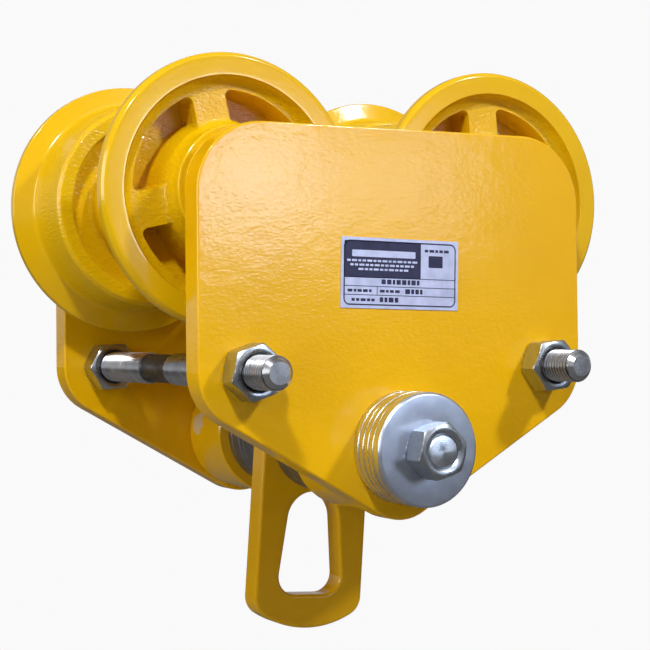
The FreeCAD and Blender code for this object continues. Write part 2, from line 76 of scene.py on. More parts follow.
# Lamps stand at places in metres and have sizes in metres and powers in watts.
PLATE_FACE = (0.0, -0.1, 0.0)
GLINT = (-0.10, -0.1075, 0.055)
PALE_BLUE = (0.66, 0.78, 1.0)
LAMPS = {
    "key_left": dict(place=(-0.73, -1.04, 1.21), target=PLATE_FACE, size=(0.14, 0.14), power=18.5),
    "key_right": dict(place=(0.77, -1.17, 1.07), target=PLATE_FACE, size=(0.14, 0.14), power=16.5),
    "side_panel": dict(place=(-1.5, -0.35, 0.35), target=(0.0, 0.0, 0.0), size=(0.7, 0.7), power=10.0),
    "gloss_panel_near": dict(place=(0.49, -1.31, 0.195), target=GLINT, size=(0.18, 0.17), power=1.15,
                             colour=PALE_BLUE, diffuse=False),
    "gloss_panel_far": dict(place=(0.72, -1.31, 0.195), target=GLINT, size=(0.22, 0.17), power=0.6,
                            colour=PALE_BLUE, diffuse=False),
    "ceiling_panel": dict(place=(0.35, -1.2, 1.7), target=PLATE_FACE, size=(1.3, 0.7), power=3.5,
                          diffuse=False),
    "back_panel": dict(place=(0.1, 1.6, 0.6), target=(0.0, 0.1, 0.0), size=(1.2, 0.8), power=9.0,
                       glossy=False),
}


def make_camera():
    """A nearly level view from the front and left, a little below the wheels' axles."""
    data = bpy.data.cameras.new("camera")
    data.lens = CAMERA_LENS
    data.sensor_width = SENSOR_WIDTH
    data.shift_y = CAMERA_SHIFT_Y
    data.clip_end = 200.0
    camera = bpy.data.objects.new("camera", data)
    bpy.context.scene.collection.objects.link(camera)
    turn = Matrix.Rotation(math.radians(-CAMERA_YAW), 4, "Z")
    tilt = Matrix.Rotation(math.radians(90 + CAMERA_PITCH), 4, "X")
    roll = Matrix.Rotation(math.radians(CAMERA_ROLL), 4, "Z")
    camera.matrix_world = Matrix.Translation(Vector(CAMERA_PLACE) * MM) @ turn @ tilt @ roll
    bpy.context.scene.camera = camera
    bpy.context.scene.view_settings.view_transform = "Standard"


def area_light(name, place, target, size, power, colour=(1.0, 1.0, 1.0), diffuse=True, glossy=True):
    """A rectangular lamp. diffuse and glossy say whether it lights matt surfaces and shows in gloss."""
    data = bpy.data.lights.new(name, "AREA")
    data.shape = "RECTANGLE"
    data.size, data.size_y = size
    data.energy = power
    data.color = colour
    lamp = bpy.data.objects.new(name, data)
    bpy.context.scene.collection.objects.link(lamp)
    lamp.location = place
    lamp.rotation_euler = (Vector(target) - Vector(place)).to_track_quat("-Z", "Y").to_euler()
    lamp.visible_diffuse = diffuse
    lamp.visible_glossy = glossy


def seen_by_ray(tree, surface, choices):
    """The surface shader for most rays, and another one for each kind of ray that is named."""
    path = tree.nodes.new("ShaderNodeLightPath")
    for ray, seen in choices:
        mix = tree.nodes.new("ShaderNodeMixShader")
        tree.links.new(path.outputs[ray], mix.inputs["Fac"])
        tree.links.new(surface, mix.inputs[1])
        tree.links.new(seen, mix.inputs[2])
        surface = mix.outputs["Shader"]
    return surface


def math_node(tree, operation, first, second):
    node = tree.nodes.new("ShaderNodeMath")
    node.operation = operation
    tree.links.new(first, node.inputs[0])
    tree.links.new(second, node.inputs[1])
    return node.outputs["Value"]


def plain_background(tree, colour, strength):
    node = tree.nodes.new("ShaderNodeBackground")
    node.inputs["Color"].default_value = (*colour, 1.0)
    node.inputs["Strength"].default_value = strength
    return node


def make_world():
    """A warm pale surround, a white backdrop, and cool reflections that darken towards the top."""
    world = bpy.data.worlds.new("studio")
    bpy.context.scene.world = world
    world.use_nodes = True
    tree = world.node_tree
    surround = tree.nodes["Background"]
    surround.inputs["Color"].default_value = (*SURROUND_COLOUR, 1.0)
    surround.inputs["Strength"].default_value = SURROUND_STRENGTH
    reflected = plain_background(tree, REFLECTED_COLOUR, REFLECTED_HIGH)
    around = tree.nodes.new("ShaderNodeTexCoord")
    split = tree.nodes.new("ShaderNodeSeparateXYZ")
    tree.links.new(around.outputs["Generated"], split.inputs["Vector"])
    behind = remap(tree, split.outputs["Y"], -0.1, 0.7, REFLECTED_LOW, REFLECTED_HIGH)
    leftward = remap(tree, split.outputs["X"], 0.1, -0.4, 0.0, REFLECTED_HIGH)
    overhead = remap(tree, split.outputs["Z"], 0.05, 0.40, 1.0, OVERHEAD_SHARE)
    brighter = math_node(tree, "MAXIMUM", behind, leftward)
    tree.links.new(math_node(tree, "MULTIPLY", brighter, overhead), reflected.inputs["Strength"])
    backdrop = plain_background(tree, BACKDROP_GREY, 1.0)
    light = seen_by_ray(tree, surround.outputs["Background"],
                        (("Is Glossy Ray", reflected.outputs["Background"]),
                         ("Is Camera Ray", backdrop.outputs["Background"])))
    tree.links.new(light, tree.nodes["World Output"].inputs["Surface"])


def grey_diffuse(tree, value):
    matt = tree.nodes.new("ShaderNodeBsdfDiffuse")
    matt.inputs["Color"].default_value = (value, value, value, 1.0)
    return matt.outputs["BSDF"]


def make_floor():
    """White paper that fades into the backdrop, and looks darker in bounced and reflected light."""
    mesh = bpy.data.meshes.new("floor")
    turns = [2 * math.pi * i / FLOOR_SEGMENTS for i in range(FLOOR_SEGMENTS)]
    ring = [(FLOOR_RADIUS * math.cos(turn), FLOOR_RADIUS * math.sin(turn), FLOOR_Z * MM) for turn in turns]
    mesh.from_pydata(ring, [], [tuple(range(FLOOR_SEGMENTS))])
    floor = bpy.data.objects.new("floor", mesh)
    bpy.context.scene.collection.objects.link(floor)
    material, tree, shader, place = start_material("floor_paper", FLOOR_COLOUR, 0.0, FLOOR_ROUGHNESS)
    distance = tree.nodes.new("ShaderNodeVectorMath")
    distance.operation = "LENGTH"
    tree.links.new(place, distance.inputs[0])
    fade = remap(tree, distance.outputs["Value"], FLOOR_FADE_START, FLOOR_FADE_END, 0.0, 1.0)
    glow = tree.nodes.new("ShaderNodeEmission")
    glow.inputs["Color"].default_value = (*BACKDROP_GREY, 1.0)
    paper = tree.nodes.new("ShaderNodeMixShader")
    tree.links.new(fade, paper.inputs["Fac"])
    tree.links.new(shader.outputs["BSDF"], paper.inputs[1])
    tree.links.new(glow.outputs["Emission"], paper.inputs[2])
    surface = seen_by_ray(tree, grey_diffuse(tree, FLOOR_BOUNCE),
                          (("Is Glossy Ray", grey_diffuse(tree, FLOOR_IN_REFLECTIONS)),
                           ("Is Camera Ray", paper.outputs["Shader"])))
    tree.links.new(surface, tree.nodes["Material Output"].inputs["Surface"])
    floor.data.materials.append(material)


# ---- sizes shared with the design ------------------------------------------------------

PLATE_INNER_Y = 91.5
PLATE_OUTER_Y = 107.5
WHEEL_X = 84.5
TREAD_RADIUS = 61.0
WHEEL_FACE_Y = 76.0
WHEEL_WIDTH = 42.5
FLANGE_RADIUS = 74.7
SPOKE_PHASE = {"front_left": 12.5, "front_right": 4.5, "rear_left": 33.0, "rear_right": -21.0}
THREAD_RADIUS = 9.0
THREAD_PITCH = 2.5
NUT_ACROSS_FLATS = 27.0
NUT_HEIGHT = 15.0
ROD_X = 93.0
ROD_Z = -35.0
ROD_HALF_LENGTH = 145.0
OUTER_NUT_PHASE = {("left", -1): 18.0, ("right", -1): 6.0, ("left", 1): 41.0, ("right", 1): 27.0}
INNER_NUT_PHASE = {("left", -1): 33.0, ("right", -1): 12.0, ("left", 1): 3.0, ("right", 1): 22.0}
SHAFT_NUT_PHASE = {"front": 16.5, "rear": 44.0}
SHAFT_Z = -77.5
SHAFT_RADIUS = 19.0
SHAFT_DOME_HEIGHT = 0.6
WASHER_RADIUS = 30.5
WASHER_BORE_RADIUS = 19.4
WASHER_THICKNESS = 5.0
BOSS_END_Y = 48.0
OUTER_WASHERS = 4
INNER_WASHERS = {"front": 7, "rear": 9}
DISC_THICKNESS = 7.0
STACK_OUTER_Y = PLATE_OUTER_Y + OUTER_WASHERS * WASHER_THICKNESS
DISC_OUTER_Y = STACK_OUTER_Y + DISC_THICKNESS
SHAFT_END_Y = DISC_OUTER_Y + NUT_HEIGHT - 0.5
LABEL_WIDTH = 74.0
LABEL_HEIGHT = 38.0
LABEL_CENTRE_Z = 16.0
LABEL_MARGIN = 1.6
LABEL_TURN = 1.5


# ---- mesh helpers ----------------------------------------------------------------------

WELD_DISTANCE = 0.00001


def finish_mesh(name, vertices, faces, sharp_angle=35.0):
    """An object from vertices in millimetres, smooth except at corners sharper than the angle."""
    mesh = bpy.data.meshes.new(name)
    mesh.from_pydata([Vector(v) * MM for v in vertices], [], faces)
    mesh.validate()
    build = bmesh.new()
    build.from_mesh(mesh)
    bmesh.ops.recalc_face_normals(build, faces=build.faces)
    build.to_mesh(mesh)
    build.free()
    mesh.polygons.foreach_set("use_smooth", [True] * len(mesh.polygons))
    mesh.set_sharp_from_angle(angle=math.radians(sharp_angle))
    piece = bpy.data.objects.new(name, mesh)
    bpy.context.scene.collection.objects.link(piece)
    return piece


def skin(rings, loop=False):
    """Vertices and faces between closed rings of points: capped at both ends, or joined end to end."""
    count = len(rings[0])
    vertices = [point for ring in rings for point in ring]
    faces = []
    for row in range(len(rings) if loop else len(rings) - 1):
        first = row * count
        second = ((row + 1) % len(rings)) * count
        for i in range(count):
            j = (i + 1) % count
            faces.append((first + i, first + j, second + j, second + i))
    if not loop:
        faces.append(tuple(range(count)))
        faces.append(tuple(range(len(vertices) - count, len(vertices))))
    return vertices, faces


def softened(corners, steps=4):
    """Round the corners of a (radius, station, rounding) outline and drop the rounding value."""
    points = []
    count = len(corners)
    for index, (radius, station, rounding) in enumerate(corners):
        here = Vector((radius, station))
        if rounding <= 0:
            points.append(tuple(here))
            continue
        before = Vector(corners[index - 1][:2]) - here
        after = Vector(corners[(index + 1) % count][:2]) - here
        setback = min(rounding, 0.48 * before.length, 0.48 * after.length)
        start = here + before.normalized() * setback
        end = here + after.normalized() * setback
        for step in range(steps + 1):
            t = step / steps
            points.append(tuple(start * (1 - t) ** 2 + here * (2 * t * (1 - t)) + end * t ** 2))
    return points


def densified(points, spacing):
    """Divide the long runs of a closed outline so that no run is longer than the spacing."""
    dense = []
    for start, end in zip(points, points[1:] + points[:1]):
        runs = max(1, math.ceil(math.dist(start, end) / spacing))
        for step in range(runs):
            t = step / runs
            dense.append(tuple(a + (b - a) * t for a, b in zip(start, end)))
    return dense


def ring_of(radius, station, count, x, z):
    return [(x + radius * math.cos(2 * math.pi * i / count), station,
             z + radius * math.sin(2 * math.pi * i / count)) for i in range(count)]


def turned_piece(name, outline, count, x, z, loop=True):
    """A piece turned about an axis parallel to Y from a (radius, station) outline."""
    rings = [ring_of(radius, station, count, x, z) for radius, station in outline]
    vertices, faces = skin(rings, loop)
    return finish_mesh(name, vertices, faces)


def joined_meshes(name, parts, sharp_angle=35.0):
    """One object from several (vertices, faces) lists."""
    vertices = []
    faces = []
    for part_vertices, part_faces in parts:
        offset = len(vertices)
        vertices.extend(part_vertices)
        faces.extend(tuple(index + offset for index in face) for face in part_faces)
    return finish_mesh(name, vertices, faces, sharp_angle)


def close_up(piece, sharp_angle):
    """Weld coincident points, drop faces with no area and cap the open ends."""
    build = bmesh.new()
    build.from_mesh(piece.data)
    bmesh.ops.remove_doubles(build, verts=build.verts, dist=WELD_DISTANCE)
    bmesh.ops.dissolve_degenerate(build, edges=build.edges, dist=WELD_DISTANCE)
    bmesh.ops.holes_fill(build, edges=build.edges, sides=0)
    bmesh.ops.recalc_face_normals(build, faces=build.faces)
    build.to_mesh(piece.data)
    build.free()
    piece.data.polygons.foreach_set("use_smooth", [True] * len(piece.data.polygons))
    piece.data.set_sharp_from_angle(angle=math.radians(sharp_angle))


def dress(piece, material, body, slot, *replaced):
    """Give a piece its material, tie it to its body and hide the CAD nodes it stands for; slot is not used.
    """
    piece.data.materials.append(material)
    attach(piece, body)
    if replaced:
        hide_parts(*replaced)


# ---- materials -------------------------------------------------------------------------

def start_material(name, colour, metallic, roughness):
    material = bpy.data.materials.new(name)
    material.use_nodes = True
    tree = material.node_tree
    shader = tree.nodes["Principled BSDF"]
    shader.inputs["Base Color"].default_value = (*colour, 1.0)
    shader.inputs["Metallic"].default_value = metallic
    shader.inputs["Roughness"].default_value = roughness
    place = tree.nodes.new("ShaderNodeTexCoord")
    return material, tree, shader, place.outputs["Object"]


def noise_at(tree, place, scale, detail=3.0, roughness=0.55, stretch=None):
    """A noise texture of so many features per metre."""
    if stretch:
        mapping = tree.nodes.new("ShaderNodeMapping")
        mapping.inputs["Scale"].default_value = stretch
        tree.links.new(place, mapping.inputs["Vector"])
        place = mapping.outputs["Vector"]
    texture = tree.nodes.new("ShaderNodeTexNoise")
    texture.inputs["Scale"].default_value = scale
    texture.inputs["Detail"].default_value = detail
    texture.inputs["Roughness"].default_value = roughness
    tree.links.new(place, texture.inputs["Vector"])
    return texture.outputs["Fac"]


def remap(tree, value, low, high, to_low, to_high):
    node = tree.nodes.new("ShaderNodeMapRange")
    node.inputs["From Min"].default_value = low
    node.inputs["From Max"].default_value = high
    node.inputs["To Min"].default_value = to_low
    node.inputs["To Max"].default_value = to_high
    tree.links.new(value, node.inputs["Value"])
    return node.outputs["Result"]


def colour_between(tree, factor, first, second):
    node = tree.nodes.new("ShaderNodeMix")
    node.data_type = "RGBA"
    node.inputs["A"].default_value = (*first, 1.0)
    node.inputs["B"].default_value = (*second, 1.0)
    tree.links.new(factor, node.inputs["Factor"])
    return node.outputs["Result"]


def bump(tree, height, distance, below=None):
    node = tree.nodes.new("ShaderNodeBump")
    node.inputs["Strength"].default_value = 1.0
    node.inputs["Distance"].default_value = distance
    tree.links.new(height, node.inputs["Height"])
    if below is not None:
        tree.links.new(below, node.inputs["Normal"])
    return node.outputs["Normal"]


# Scales are features per metre; depths, heights and distances in materials are metres.
PAINT_COLOUR = (0.80, 0.445, 0.001)
PAINT_SHADE = (0.75, 0.405, 0.001)
# The wheels wear the plates' paint; these two tones are shifted from it to paint in how the light falls on
# the wheels.
WHEEL_COLOUR_AS_LIT = (0.74, 0.450, 0.001)
WHEEL_SHADE_AS_LIT = (0.69, 0.410, 0.001)
TINT_SCALE = 14
PATCH_SCALE = 45
PATCH_ROUGHNESS = (0.46, 0.58)
WAVE_SCALE = 70
PEEL_STRETCH = (1.0, 1.0, 1.7)
NIB_SCALE = 30.0
NIB_HEIGHT = 0.00012
CLOUD_SCALE = 120
SMEAR_SCALE = 160
# A paler, matt patch high on the rear boss: its place in metres, colour, noise scale, raggedness and edge.
PALE_PATCH_PLACE = (-0.0364, 0.080, -0.0715)
PALE_PATCH_COLOUR = (0.62, 0.46, 0.24)
PALE_PATCH_SCALE = 180
PALE_PATCH_RAGGEDNESS = 0.010
PALE_PATCH_EDGE = (0.0112, 0.0120)


def paint_material(name, colour, shade, peel_scale, peel_depth, wave_depth, gloss_roughness):
    """Thick gloss enamel: orange peel over a slow waviness, with a few nibs of dust under it."""
    material, tree, shader, place = start_material(name, colour, 0.0, 0.4)
    tint = remap(tree, noise_at(tree, place, TINT_SCALE, 4), 0.35, 0.65, 0.0, 1.0)
    tree.links.new(colour_between(tree, tint, colour, shade), shader.inputs["Base Color"])
    patchy = remap(tree, noise_at(tree, place, PATCH_SCALE, 5), 0.3, 0.7, *PATCH_ROUGHNESS)
    tree.links.new(patchy, shader.inputs["Roughness"])
    shader.inputs["Specular IOR Level"].default_value = 0.05
    shader.inputs["Coat Weight"].default_value = 0.9
    shader.inputs["Coat Roughness"].default_value = gloss_roughness
    nibs = tree.nodes.new("ShaderNodeTexVoronoi")
    nibs.inputs["Scale"].default_value = NIB_SCALE
    tree.links.new(place, nibs.inputs["Vector"])
    dust = bump(tree, remap(tree, nibs.outputs["Distance"], 0.02, 0.045, 1.0, 0.0), NIB_HEIGHT)
    waves = bump(tree, noise_at(tree, place, WAVE_SCALE, 2), wave_depth, dust)
    peel = bump(tree, noise_at(tree, place, peel_scale, 2, 0.5, PEEL_STRETCH), peel_depth, waves)
    tree.links.new(peel, shader.inputs["Normal"])
    tree.links.new(peel, shader.inputs["Coat Normal"])
    return material


def patched_paint_material():
    """The plate's paint, a little smoother, with one paler, matt patch high on the rear boss."""
    material = paint_material("boss_paint", PAINT_COLOUR, PAINT_SHADE, peel_scale=460, peel_depth=0.00005,
                              wave_depth=0.00013, gloss_roughness=0.12)
    tree = material.node_tree
    shader = tree.nodes["Principled BSDF"]
    place = tree.nodes.new("ShaderNodeTexCoord").outputs["Object"]
    offset = tree.nodes.new("ShaderNodeVectorMath")
    offset.operation = "DISTANCE"
    offset.inputs[1].default_value = PALE_PATCH_PLACE
    tree.links.new(place, offset.inputs[0])
    ragged = tree.nodes.new("ShaderNodeMath")
    ragged.operation = "MULTIPLY_ADD"
    ragged.inputs[1].default_value = PALE_PATCH_RAGGEDNESS
    tree.links.new(noise_at(tree, place, PALE_PATCH_SCALE, 3), ragged.inputs[0])
    tree.links.new(offset.outputs["Value"], ragged.inputs[2])
    outside_patch = remap(tree, ragged.outputs["Value"], *PALE_PATCH_EDGE, 0.0, 1.0)
    blend = tree.nodes.new("ShaderNodeMix")
    blend.data_type = "RGBA"
    blend.inputs["A"].default_value = (*PALE_PATCH_COLOUR, 1.0)
    tree.links.new(outside_patch, blend.inputs["Factor"])
    tree.links.new(shader.inputs["Base Color"].links[0].from_socket, blend.inputs["B"])
    tree.links.new(blend.outputs["Result"], shader.inputs["Base Color"])
    tree.links.new(outside_patch, shader.inputs["Coat Weight"])
    return material


def metal_material(name, light, dark, roughness, grain, depth, metallic=1.0, stretch=None):
    """Bare or plated steel, foil or ink: a cloudy tone between two colours and a fine grain."""
    material, tree, shader, place = start_material(name, light, metallic, roughness[0])
    cloud = remap(tree, noise_at(tree, place, CLOUD_SCALE, 3), 0.35, 0.68, 0.0, 1.0)
    tree.links.new(colour_between(tree, cloud, light, dark), shader.inputs["Base Color"])
    smear = remap(tree, noise_at(tree, place, SMEAR_SCALE, 2), 0.3, 0.7, *roughness)
    tree.links.new(smear, shader.inputs["Roughness"])
    tree.links.new(bump(tree, noise_at(tree, place, grain, 1, 0.5, stretch), depth),
                   shader.inputs["Normal"])
    return material


def end_grain_material():
    """Zinc over a turned end: fine rings about the axis, which stretch the highlights into a bow."""
    material = metal_material("turned_end", (0.74, 0.80, 0.90), (0.66, 0.72, 0.82),
                              roughness=(0.26, 0.34), grain=300, depth=0.00001)
    tree = material.node_tree
    shader = tree.nodes["Principled BSDF"]
    shader.inputs["Anisotropic"].default_value = 0.75
    round_about = tree.nodes.new("ShaderNodeTangent")
    round_about.direction_type = "RADIAL"
    round_about.axis = "Y"
    tree.links.new(round_about.outputs["Tangent"], shader.inputs["Tangent"])
    return material


plate_paint = paint_material("plate_paint", PAINT_COLOUR, PAINT_SHADE, peel_scale=460,
                             peel_depth=0.00007, wave_depth=0.00018, gloss_roughness=0.12)
boss_paint = patched_paint_material()
rim_paint = paint_material("rim_paint", WHEEL_COLOUR_AS_LIT, WHEEL_SHADE_AS_LIT, peel_scale=450,
                           peel_depth=0.00005, wave_depth=0.00006, gloss_roughness=0.12)
cast_paint = paint_material("cast_paint", WHEEL_COLOUR_AS_LIT, WHEEL_SHADE_AS_LIT, peel_scale=430,
                            peel_depth=0.00050, wave_depth=0.00025, gloss_roughness=0.07)
zinc = metal_material("zinc", (0.74, 0.76, 0.80), (0.66, 0.68, 0.72),
                      roughness=(0.25, 0.31), grain=220, depth=0.000004)
nut_zinc = metal_material("nut_zinc", (0.50, 0.53, 0.57), (0.42, 0.45, 0.49),
                          roughness=(0.26, 0.34), grain=220, depth=0.000003)
disc_zinc = metal_material("disc_zinc", (0.76, 0.83, 0.97), (0.66, 0.72, 0.88),
                           roughness=(0.28, 0.34), grain=160, depth=0.00002)
rod_zinc = metal_material("rod_zinc", (0.60, 0.60, 0.62), (0.50, 0.50, 0.52),
                          roughness=(0.20, 0.28), grain=220, depth=0.000003)
# A dark colour for the deepest faces of the threads: painted shade in their grooves.
painted_groove_shade = metal_material("painted_groove_shade", (0.16, 0.16, 0.17), (0.09, 0.09, 0.10),
                             roughness=(0.35, 0.5), grain=220, depth=0.00001)
dull_zinc = metal_material("dull_zinc", (0.36, 0.38, 0.42), (0.27, 0.29, 0.32),
                           roughness=(0.32, 0.45), grain=300, depth=0.00002)
machined = metal_material("machined", (0.56, 0.57, 0.60), (0.47, 0.48, 0.51),
                          roughness=(0.25, 0.38), grain=300, depth=0.00003, stretch=(0.2, 6.0, 0.2))
ground = metal_material("ground", (0.70, 0.70, 0.72), (0.62, 0.62, 0.64),
                        roughness=(0.1, 0.18), grain=400, depth=0.00001)
phosphate = metal_material("phosphate", (0.10, 0.10, 0.11), (0.05, 0.05, 0.055),
                           roughness=(0.45, 0.6), grain=500, depth=0.00004, metallic=0.8)
mill_scale = metal_material("mill_scale", (0.085, 0.085, 0.09), (0.045, 0.045, 0.05),
                            roughness=(0.35, 0.55), grain=600, depth=0.00005, metallic=0.85)
foil = metal_material("foil", (0.56, 0.60, 0.84), (0.42, 0.46, 0.66),
                      roughness=(0.32, 0.42), grain=300, depth=0.00003, metallic=0.25)
ink = metal_material("ink", (0.010, 0.010, 0.050), (0.020, 0.020, 0.075),
                     roughness=(0.45, 0.55), grain=300, depth=0.00001, metallic=0.0)
turned_end = end_grain_material()

CAD_MATERIALS = {
    "side_plate": plate_paint, "shaft_boss": boss_paint, "suspension_lug": plate_paint,
    "hub_cap": plate_paint, "wheel_axle": machined, "bearing": ground, "hub_circlip": phosphate,
    "axle_circlip": phosphate,
}


def paint_cad_nodes():
    """Give every carried-over CAD node the material that its name calls for."""
    for name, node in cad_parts.items():
        for stem, material in CAD_MATERIALS.items():
            if name.startswith(stem):
                node.data.materials.clear()
                node.data.materials.append(material)


# ---- wheels ----------------------------------------------------------------------------

HALF_SPOKE = 9.75
WALL_ZONE = 4.5
POCKET_OUTER = 55.2
POCKET_INNER = 40.0
POCKET_DEPTH = 16.0
POCKET_WALL = 1.8
POCKET_CORNER = 4.5
HUB_BORE = 18.0
HUB_RADIUS = 31.0
HUB_STATION = -11.0
BEARING_BORE = 26.0
BEARING_STOP = 6.7
RECESS_FLOOR = 32.5
CONE_DEPTH = 7.0
CONE_TOP_RADIUS = 37.6
WEB_STATION = 6.0
SPOKE_ROOT_RADIUS = 36.0
WALL_ROWS = ((37.0, 42.5), (49.5, 57.5))
ROW_SPACING = 1.3
COLUMNS = {"spoke": 6, "wall": 12, "floor": 14}
CAST_OUTER = 61.8
CAST_INNER = 27.0
TREAD_START = 12.0
TREAD_INNER = 59.0
TREAD_CAST_SHARE = 0.15
COARSE_LUMPS = (0.16, 0.22)
FINE_LUMPS = (0.10, 0.55)
LUMP_OFFSET = 0.06
RIM_PAINT_OUTER = 61.7
RIM_PAINT_INNER = 35.0


def column_angles(radius):
    """Angles over one quarter turn, from a spoke's middle, following its straight sides."""
    reach = max(radius, SPOKE_ROOT_RADIUS)
    wall_start = math.asin(HALF_SPOKE / reach)
    half = [wall_start * step / COLUMNS["spoke"] for step in range(COLUMNS["spoke"])]
    for step in range(COLUMNS["wall"]):
        half.append(math.asin((HALF_SPOKE + WALL_ZONE * step / COLUMNS["wall"]) / reach))
    wall_end = math.asin((HALF_SPOKE + WALL_ZONE) / reach)
    for step in range(COLUMNS["floor"]):
        half.append(wall_end + (math.pi / 4 - wall_end) * step / COLUMNS["floor"])
    return half + [math.pi / 4] + [math.pi / 2 - angle for angle in reversed(half[1:])]


def smooth(value):
    value = min(max(value, 0.0), 1.0)
    return value * value * (3 - 2 * value)


def pocket_depth(radius, angle):
    """How far the web falls away between the spokes at a place on the wheel."""
    aside = min(radius * math.sin(angle), radius * math.cos(angle)) - HALF_SPOKE
    inward = POCKET_OUTER - radius
    corner = math.hypot(max(POCKET_CORNER - inward, 0.0), max(POCKET_CORNER - aside, 0.0))
    opening = smooth((POCKET_CORNER - corner) / POCKET_WALL)
    if radius < POCKET_INNER:
        fall = CONE_DEPTH * max(0.0, (radius - CONE_TOP_RADIUS) / (POCKET_INNER - CONE_TOP_RADIUS))
    else:
        wall = smooth((radius - POCKET_INNER) / POCKET_WALL)
        fall = CONE_DEPTH + (POCKET_DEPTH - CONE_DEPTH) * wall
    return fall * opening


# The wheel's section once round: radius, station from its front face, rounding of the corner.
WHEEL_OUTLINE = [
    (HUB_BORE, HUB_STATION, 0.0), (HUB_RADIUS, HUB_STATION, 1.6), (HUB_RADIUS, -7.5, 0.8),
    (35.3, -7.5, 1.4), (35.3, -1.0, 2.0), (CONE_TOP_RADIUS, WEB_STATION, 3.5), (57.6, WEB_STATION, 2.5),
    (60.9, 3.2, 2.0), (61.9, 0.9, 0.3), (62.4, 0.0, 0.15), (72.6, 0.0, 0.7),
    (FLANGE_RADIUS, 2.1, 1.0), (FLANGE_RADIUS, 7.2, 1.2), (73.2, 7.6, 0.8), (63.2, 10.6, 2.0),
    (62.2, 13.0, 1.2), (59.8, WHEEL_WIDTH - 2.0, 0.6), (57.8, WHEEL_WIDTH, 0.8), (50.0, WHEEL_WIDTH, 1.2),
    (48.5, RECESS_FLOOR, 3.0), (35.5, RECESS_FLOOR, 3.0), (34.0, WHEEL_WIDTH, 1.2),
    (BEARING_BORE, WHEEL_WIDTH, 0.4), (BEARING_BORE, BEARING_STOP, 0.0), (HUB_BORE, BEARING_STOP, 0.0),
]


def wheel_rows():
    """The wheel's outline as (radius, station), closely spaced where the pockets' walls are."""
    rows = densified(softened(WHEEL_OUTLINE), ROW_SPACING)
    dense = []
    for start, end in zip(rows, rows[1:] + rows[:1]):
        on_web = abs(start[1] - WEB_STATION) < 0.1 and abs(end[1] - WEB_STATION) < 0.1
        walls = any(inner < start[0] < outer for inner, outer in WALL_ROWS)
        runs = 4 if on_web and walls else 1
        for step in range(runs):
            t = step / runs
            dense.append((start[0] + (end[0] - start[0]) * t, start[1] + (end[1] - start[1]) * t))
    return dense


def cast_share(radius, station):
    """1 on the as-cast surfaces, 0 on the machined faces, and a little on the tread."""
    if station > WHEEL_WIDTH - 0.5 or radius < CAST_INNER or radius > CAST_OUTER:
        return 0.0
    if station > TREAD_START and radius > TREAD_INNER:
        return TREAD_CAST_SHARE
    return 1.0


def wheel_mesh(side):
    """The cast wheel about its own axis. side is -1 for the front pair and 1 for the rear pair."""
    rings = []
    shares = []
    for radius, station in wheel_rows():
        ring = []
        on_face = station < WEB_STATION + 0.2 and CONE_TOP_RADIUS < radius < POCKET_OUTER
        for quarter in range(4):
            for angle in column_angles(radius):
                depth = pocket_depth(radius, angle) if on_face else 0.0
                turn = angle + quarter * math.pi / 2
                ring.append((radius * math.cos(turn), station + depth, radius * math.sin(turn)))
                shares.append(cast_share(radius, station))
        rings.append(ring)
    vertices, faces = skin(rings, loop=True)
    piece = finish_mesh("wheel_shape", vertices, faces, 50.0)
    places = []
    for vertex, normal, share in zip(piece.data.vertices, piece.data.vertex_normals, shares):
        place = vertex.co / MM
        lumps = sum(height * noise.noise(place * scale) for height, scale in (COARSE_LUMPS, FINE_LUMPS))
        places.extend(vertex.co + normal.vector * ((lumps - LUMP_OFFSET) * share * MM))
    piece.data.vertices.foreach_set("co", places)
    if side > 0:
        piece.data.transform(Matrix.Scale(-1, 4, (0, 1, 0)))
        piece.data.flip_normals()
    return piece


def make_wheels():
    """Four wheels from two castings, each turned so that its spokes stand where they were seen."""
    for name, side in (("front", -1), ("rear", 1)):
        shape = wheel_mesh(side)
        mesh = shape.data
        bpy.data.objects.remove(shape)
        mesh.materials.append(cast_paint)
        mesh.materials.append(rim_paint)
        for face in mesh.polygons:
            radius = math.hypot(face.center.x, face.center.z) / MM
            face.material_index = 1 if radius > RIM_PAINT_OUTER or radius < RIM_PAINT_INNER else 0
        for hand, x_sign in (("left", -1), ("right", 1)):
            corner = name + "_" + hand
            turned = mesh.copy()
            turned.transform(Matrix.Rotation(math.radians(-SPOKE_PHASE[corner]), 4, "Y"))
            wheel = bpy.data.objects.new("cast_wheel_" + corner, turned)
            bpy.context.scene.collection.objects.link(wheel)
            wheel.location = Vector((x_sign * WHEEL_X, side * WHEEL_FACE_Y, TREAD_RADIUS)) * MM
            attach(wheel, "wheel_" + corner)
            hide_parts("wheel_casting_" + corner)


# ---- fasteners -------------------------------------------------------------------------

NUT_SEGMENTS = 96
NUT_CORNER_POWER = 80
NUT_FACE_SHARE = 0.945
NUT_BEVEL_STEPS = 8
# The countersunk mouth of a nut: radius and depth below the nut's face.
NUT_MOUTH = ((THREAD_RADIUS + 0.05, 1.3), (10.3, 0.12), (10.55, 0.0))


def hexagon_radius(angle, apothem):
    """Distance to the outline of a hexagon whose corners are very slightly rounded."""
    total = sum(max(0.0, math.cos(angle - math.radians(30 + 60 * flat))) ** NUT_CORNER_POWER
                for flat in range(6))
    return apothem / total ** (1 / NUT_CORNER_POWER)


